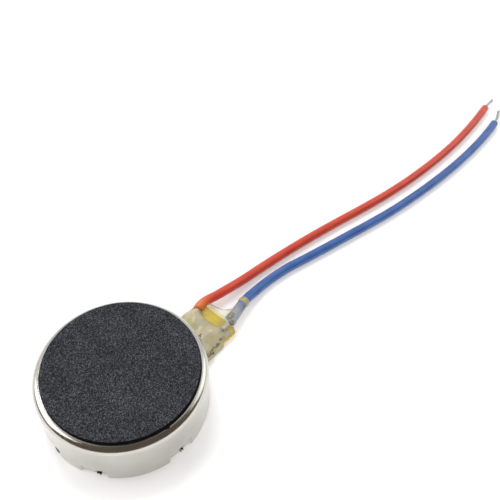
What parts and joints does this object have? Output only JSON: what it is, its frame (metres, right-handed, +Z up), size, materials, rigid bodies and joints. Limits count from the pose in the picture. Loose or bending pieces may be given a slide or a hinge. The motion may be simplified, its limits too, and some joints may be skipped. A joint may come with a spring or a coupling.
{
  "type": "vibration motor",
  "caption": "Flat round vibration motor with a foam pad on its steel case, a glued circuit tab at the side and two lying leads with bare ends.",
  "frame": {"origin": "centre of the base plate's underside, on the rotor's axis", "axes": "+Z up along the rotor's axis, towards the foam pad; +X out along the circuit tab, towards the leads"},
  "size_m": [0.0482, 0.01, 0.0037],
  "materials": {
    "nickel": "satin nickel plate on a drawn steel case",
    "steel": "bright stamped or ground steel",
    "foam": "matt charcoal foam with a fine grain",
    "adhesive": "clear acrylic film",
    "polyimide": "amber polyimide film",
    "magnet": "nickel-plated magnet",
    "copper": "copper foil and enamelled copper wire",
    "gold": "gold flash on copper alloy",
    "bronze": "oiled sintered bronze",
    "board": "green solder mask",
    "tungsten": "sintered tungsten alloy",
    "resin": "moulded black resin",
    "washer": "unfilled low-friction plastic",
    "solder": "dull bright solder",
    "glue": "cream translucent glue with a gloss skin",
    "red": "satin red PVC",
    "blue": "satin blue PVC",
    "tin": "tinned copper strands"
  },
  "bodies": {
    "stator": {"case": "nickel", "pad_adhesive": "adhesive", "foam_pad": "foam", "base_plate": "steel", "shaft": "steel", "flex_circuit": "polyimide", "copper_pad_red": "copper", "copper_pad_blue": "copper", "ring_magnet": "magnet", "brush_positive": "gold", "brush_negative": "gold", "lower_washer": "washer", "upper_washer": "washer", "red_conductor": "tin", "red_insulation": "red", "blue_conductor": "tin", "blue_insulation": "blue", "solder_joint_red": "solder", "solder_joint_blue": "solder", "glue_blob": "glue"},
    "rotor": {"bearing": "bronze", "rotor_board": "board", "commutator_segment_1": "gold", "commutator_segment_2": "gold", "commutator_segment_3": "gold", "commutator_segment_4": "gold", "commutator_segment_5": "gold", "commutator_segment_6": "gold", "coil_1": "copper", "coil_2": "copper", "counterweight": "tungsten", "rotor_resin": "resin"}
  },
  "joints": [
    {"name": "rotor_spin", "type": "hinge", "parent": "stator", "child": "rotor", "pos_m": [0, 0, 0.0021], "axis": [0, 0, 1], "continuous": true}
  ]
}
